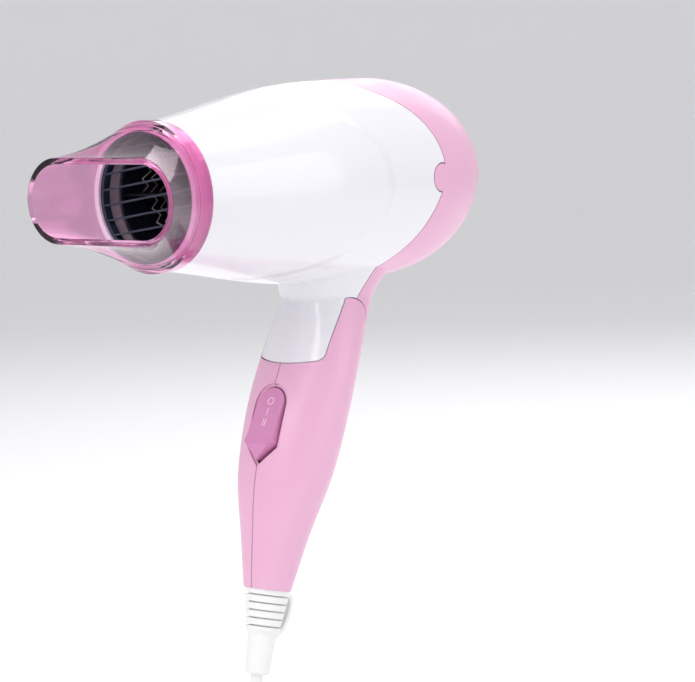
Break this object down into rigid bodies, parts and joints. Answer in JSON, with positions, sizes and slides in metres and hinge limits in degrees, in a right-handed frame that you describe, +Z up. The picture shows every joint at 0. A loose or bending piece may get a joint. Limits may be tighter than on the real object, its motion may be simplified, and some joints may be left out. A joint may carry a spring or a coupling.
{
  "type": "folding hair dryer",
  "caption": "Travel hair dryer with a folding handle, a rocker switch, a turning flat concentrator nozzle, a fan and heater inside, and a coiled mains cord.",
  "frame": {"origin": "the middle of the hand grip, on the handle's middle plane", "axes": "+Z up, +X from the nozzle towards the inlet, along the barrel's axis, +Y across the dryer, so that the nozzle blows along -X"},
  "size_m": [0.1944, 0.118, 0.2776],
  "materials": {
    "shell_white": "high gloss ABS",
    "shell_pink": "satin ABS",
    "nozzle_magenta": "clear tinted polycarbonate",
    "rocker_magenta": "gloss ABS",
    "grille_dark": "heat resistant phenolic, dark",
    "mica": "mica sheet",
    "nichrome": "drawn nichrome wire",
    "steel": "plain steel",
    "brass": "stamped brass",
    "screw_steel": "zinc plated steel",
    "pin_nickel": "nickel plated brass",
    "black_plastic": "moulded black nylon",
    "board_green": "printed board",
    "fan_plastic": "moulded dark nylon",
    "wire_insulation": "silicone insulation",
    "cord_white": "soft white PVC",
    "screen": "fine woven mesh",
    "tie_white": "flat plastic tie"
  },
  "bodies": {
    "handle": {"handle_left": "shell_pink", "handle_right": "shell_pink", "handle_screws": "screw_steel", "hinge_pins": "steel", "switch_body": "black_plastic", "switch_terminals": "brass", "mains_wires": "wire_insulation", "cord_clamp": "black_plastic", "clamp_screws": "screw_steel", "cord_boot": "cord_white", "cord_run": "cord_white", "cord_coil": "cord_white", "cord_tail": "cord_white", "cord_tie": "tie_white", "plug_body": "cord_white", "plug_pins": "pin_nickel"},
    "rocker": {"switch_rocker": "rocker_magenta"},
    "fan": {"fan_impeller": "fan_plastic", "motor_shaft": "steel", "motor_rotor": "steel"},
    "nozzle": {"air_nozzle": "nozzle_magenta"},
    "barrel": {"front_housing": "shell_white", "rear_cover": "shell_pink", "cover_screws": "screw_steel", "rear_grille": "shell_pink", "lint_screen": "screen", "hinge_knuckle": "black_plastic", "outlet_grille": "grille_dark", "heat_liner": "mica", "heater_board_upright": "mica", "heater_board_level": "mica", "heating_coils": "nichrome", "thermostat": "brass", "thermal_fuse": "steel", "motor_can": "steel", "motor_end_cap": "black_plastic", "rectifier_board": "board_green", "rectifier_diodes": "black_plastic", "fan_housing": "fan_plastic", "motor_leads": "wire_insulation"}
  },
  "joints": [
    {"name": "barrel_fold", "type": "hinge", "parent": "handle", "child": "barrel", "pos_m": [0.0215, 0, 0.0595], "axis": [0, -1, 0], "range_deg": [0, 67]},
    {"name": "rocker_tilt", "type": "hinge", "parent": "handle", "child": "rocker", "pos_m": [-0.00387, 0, 0.02249], "axis": [0, -1, 0], "range_deg": [0, 15]},
    {"name": "nozzle_turn", "type": "hinge", "parent": "barrel", "child": "nozzle", "pos_m": [-0.062, 0, 0.111], "axis": [1, 0, 0], "continuous": true},
    {"name": "fan_spin", "type": "hinge", "parent": "barrel", "child": "fan", "pos_m": [0.045, 0, 0.111], "axis": [1, 0, 0], "continuous": true}
  ]
}
